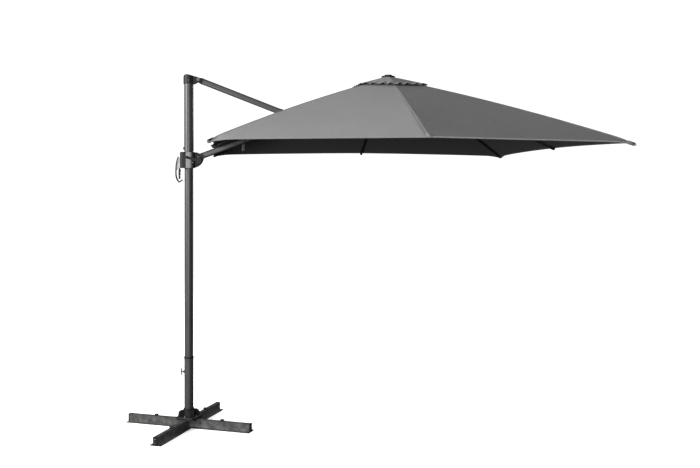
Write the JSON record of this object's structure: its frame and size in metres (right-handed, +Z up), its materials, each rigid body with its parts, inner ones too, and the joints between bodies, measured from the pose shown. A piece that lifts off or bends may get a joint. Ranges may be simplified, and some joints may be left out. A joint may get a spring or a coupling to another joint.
{
  "type": "cantilever parasol",
  "caption": "Square garden parasol hung from a side mast: cross base, turning mast, slider with grip and crank, strut and boom, folding ribs and cloth canopy.",
  "frame": {"origin": "the mast axis on the floor, at the centre of the cross base underside", "axes": "+X along the boom from the mast to the canopy hub, +Z up"},
  "size_m": [3.0919, 2.5078, 2.452],
  "materials": {
    "steel_paint": "satin",
    "alu_coat": "satin",
    "black_plastic": "satin",
    "light_plastic": "satin",
    "pin_steel": "satin",
    "cloth": "matte",
    "cord": "matte"
  },
  "bodies": {
    "base": {"base_arm_far": "steel_paint", "base_arm_near": "steel_paint", "base_bar": "steel_paint", "base_cap_1": "black_plastic", "base_cap_2": "black_plastic", "base_cap_3": "black_plastic", "base_cap_4": "black_plastic", "base_plate": "steel_paint", "hub_cover": "black_plastic", "receiver_tube": "steel_paint", "receiver_collar": "black_plastic", "swivel_bush": "black_plastic"},
    "clamp": {"wing_screw": "black_plastic"},
    "mast": {"mast_lower": "steel_paint", "mast_upper": "steel_paint", "mast_bolt": "black_plastic", "mast_head": "black_plastic", "head_pin": "pin_steel"},
    "strut": {"strut_eye": "black_plastic", "strut_tube": "alu_coat", "strut_fork": "black_plastic", "strut_pin": "pin_steel"},
    "boom": {"boom_foot": "black_plastic", "boom_tube": "alu_coat", "boom_head": "black_plastic", "lift_cord": "cord", "rib_saddle": "black_plastic", "rib_4": "alu_coat", "hub_ring": "black_plastic", "hub_post": "alu_coat", "finial": "black_plastic", "canopy": "cloth", "vent_cap": "cloth"},
    "slider": {"slider_body": "black_plastic", "slider_liner": "black_plastic", "slider_pin": "pin_steel", "crank_housing": "black_plastic", "grip_shell": "black_plastic", "grip_core": "light_plastic"},
    "trigger": {"grip_trigger": "black_plastic"},
    "crank": {"crank_arm": "black_plastic"},
    "knob": {"crank_knob": "black_plastic"},
    "runner": {"runner": "black_plastic"},
    "rib_0": {"rib_0": "alu_coat"},
    "brace_0": {"brace_0": "alu_coat"},
    "rib_1": {"rib_1": "alu_coat"},
    "brace_1": {"brace_1": "alu_coat"},
    "rib_2": {"rib_2": "alu_coat"},
    "brace_2": {"brace_2": "alu_coat"},
    "rib_3": {"rib_3": "alu_coat"},
    "brace_3": {"brace_3": "alu_coat"},
    "rib_5": {"rib_5": "alu_coat"},
    "brace_5": {"brace_5": "alu_coat"},
    "rib_6": {"rib_6": "alu_coat"},
    "brace_6": {"brace_6": "alu_coat"},
    "rib_7": {"rib_7": "alu_coat"},
    "brace_7": {"brace_7": "alu_coat"}
  },
  "joints": [
    {"name": "mast_turn", "type": "hinge", "parent": "base", "child": "mast", "pos_m": [0, 0, 0], "axis": [0, 0, 1], "continuous": true},
    {"name": "clamp_turn", "type": "hinge", "parent": "base", "child": "clamp", "pos_m": [-0.0395, 0, 0.38], "axis": [1, 0, 0], "range_deg": [0, 540]},
    {"name": "canopy_tilt", "type": "hinge", "parent": "mast", "child": "strut", "pos_m": [0.064, 0, 2.394], "axis": [0, 1, 0], "range_deg": [0, 20]},
    {"name": "boom_knee", "type": "hinge", "parent": "strut", "child": "boom", "pos_m": [0.76876, 0, 2.126], "axis": [0, 1, 0], "range_deg": [-40, 0]},
    {"name": "slider_pivot", "type": "hinge", "parent": "boom", "child": "slider", "pos_m": [0.064, 0, 1.858], "axis": [0, 1, 0], "range_deg": [0, 20]},
    {"name": "grip_squeeze", "type": "hinge", "parent": "slider", "child": "trigger", "pos_m": [-0.066, 0, 1.79], "axis": [0, 1, 0], "range_deg": [0, 4], "stiffness_Nm_per_rad": 1.5, "springref_deg": -3.44},
    {"name": "crank_turn", "type": "hinge", "parent": "slider", "child": "crank", "pos_m": [0.069, -0.04675, 1.834], "axis": [0, 1, 0], "range_deg": [0, 2313.24]},
    {"name": "knob_spin", "type": "hinge", "parent": "crank", "child": "knob", "pos_m": [-0.016, -0.04675, 1.85678], "axis": [0, 1, 0], "continuous": true},
    {"name": "canopy_fold", "type": "hinge", "parent": "boom", "child": "rib_0", "pos_m": [1.438, 0, 2.408], "axis": [0, 1, 0], "range_deg": [0, 63.03], "deforming": ["canopy", "vent_cap"]},
    {"name": "brace_0_turn", "type": "hinge", "parent": "rib_0", "child": "brace_0", "pos_m": [1.87841, 0, 2.2436], "axis": [0, 1, 0], "range_deg": [-126.07, 0]},
    {"name": "runner_turn", "type": "hinge", "parent": "brace_0", "child": "runner", "pos_m": [1.438, 0, 2.0792], "axis": [0, 1, 0], "range_deg": [0, 63.04]},
    {"name": "rib_1_fold", "type": "hinge", "parent": "boom", "child": "rib_1", "pos_m": [1.42687, 0.02687, 2.408], "axis": [-0.7071, 0.7071, 0], "range_deg": [0, 69.86]},
    {"name": "brace_1_turn", "type": "hinge", "parent": "rib_1", "child": "brace_1", "pos_m": [1.73571, 0.33571, 2.29787], "axis": [-0.7071, 0.7071, 0], "range_deg": [-127.73, 0]},
    {"name": "rib_2_fold", "type": "hinge", "parent": "boom", "child": "rib_2", "pos_m": [1.4, 0.038, 2.408], "axis": [-1, 0, 0], "range_deg": [0, 63.04]},
    {"name": "brace_2_turn", "type": "hinge", "parent": "rib_2", "child": "brace_2", "pos_m": [1.4, 0.47841, 2.2436], "axis": [-1, 0, 0], "range_deg": [-126.07, 0]},
    {"name": "rib_3_fold", "type": "hinge", "parent": "boom", "child": "rib_3", "pos_m": [1.37313, 0.02687, 2.408], "axis": [-0.7071, -0.7071, 0], "range_deg": [0, 69.86]},
    {"name": "brace_3_turn", "type": "hinge", "parent": "rib_3", "child": "brace_3", "pos_m": [1.06429, 0.33571, 2.29787], "axis": [-0.7071, -0.7071, 0], "range_deg": [-127.73, 0]},
    {"name": "rib_5_fold", "type": "hinge", "parent": "boom", "child": "rib_5", "pos_m": [1.37313, -0.02687, 2.408], "axis": [0.7071, -0.7071, 0], "range_deg": [0, 69.86]},
    {"name": "brace_5_turn", "type": "hinge", "parent": "rib_5", "child": "brace_5", "pos_m": [1.06429, -0.33571, 2.29787], "axis": [0.7071, -0.7071, 0], "range_deg": [-127.73, 0]},
    {"name": "rib_6_fold", "type": "hinge", "parent": "boom", "child": "rib_6", "pos_m": [1.4, -0.038, 2.408], "axis": [1, 0, 0], "range_deg": [0, 63.04]},
    {"name": "brace_6_turn", "type": "hinge", "parent": "rib_6", "child": "brace_6", "pos_m": [1.4, -0.47841, 2.2436], "axis": [1, 0, 0], "range_deg": [-126.07, 0]},
    {"name": "rib_7_fold", "type": "hinge", "parent": "boom", "child": "rib_7", "pos_m": [1.42687, -0.02687, 2.408], "axis": [0.7071, 0.7071, 0], "range_deg": [0, 69.86]},
    {"name": "brace_7_turn", "type": "hinge", "parent": "rib_7", "child": "brace_7", "pos_m": [1.73571, -0.33571, 2.29787], "axis": [0.7071, 0.7071, 0], "range_deg": [-127.73, 0]}
  ],
  "couplings": [
    {"joint": "boom_knee", "follows": "canopy_tilt", "ratio": -2},
    {"joint": "slider_pivot", "follows": "canopy_tilt", "ratio": 1},
    {"joint": "crank_turn", "follows": "canopy_fold", "ratio": 36.685},
    {"joint": "brace_0_turn", "follows": "canopy_fold", "ratio": -2},
    {"joint": "runner_turn", "follows": "canopy_fold", "ratio": 1},
    {"joint": "rib_1_fold", "follows": "canopy_fold", "ratio": 1.1082},
    {"joint": "brace_1_turn", "follows": "canopy_fold", "ratio": -2.0264},
    {"joint": "rib_2_fold", "follows": "canopy_fold", "ratio": 1},
    {"joint": "brace_2_turn", "follows": "canopy_fold", "ratio": -2},
    {"joint": "rib_3_fold", "follows": "canopy_fold", "ratio": 1.1082},
    {"joint": "brace_3_turn", "follows": "canopy_fold", "ratio": -2.0264},
    {"joint": "rib_5_fold", "follows": "canopy_fold", "ratio": 1.1082},
    {"joint": "brace_5_turn", "follows": "canopy_fold", "ratio": -2.0264},
    {"joint": "rib_6_fold", "follows": "canopy_fold", "ratio": 1},
    {"joint": "brace_6_turn", "follows": "canopy_fold", "ratio": -2},
    {"joint": "rib_7_fold", "follows": "canopy_fold", "ratio": 1.1082},
    {"joint": "brace_7_turn", "follows": "canopy_fold", "ratio": -2.0264}
  ]
}
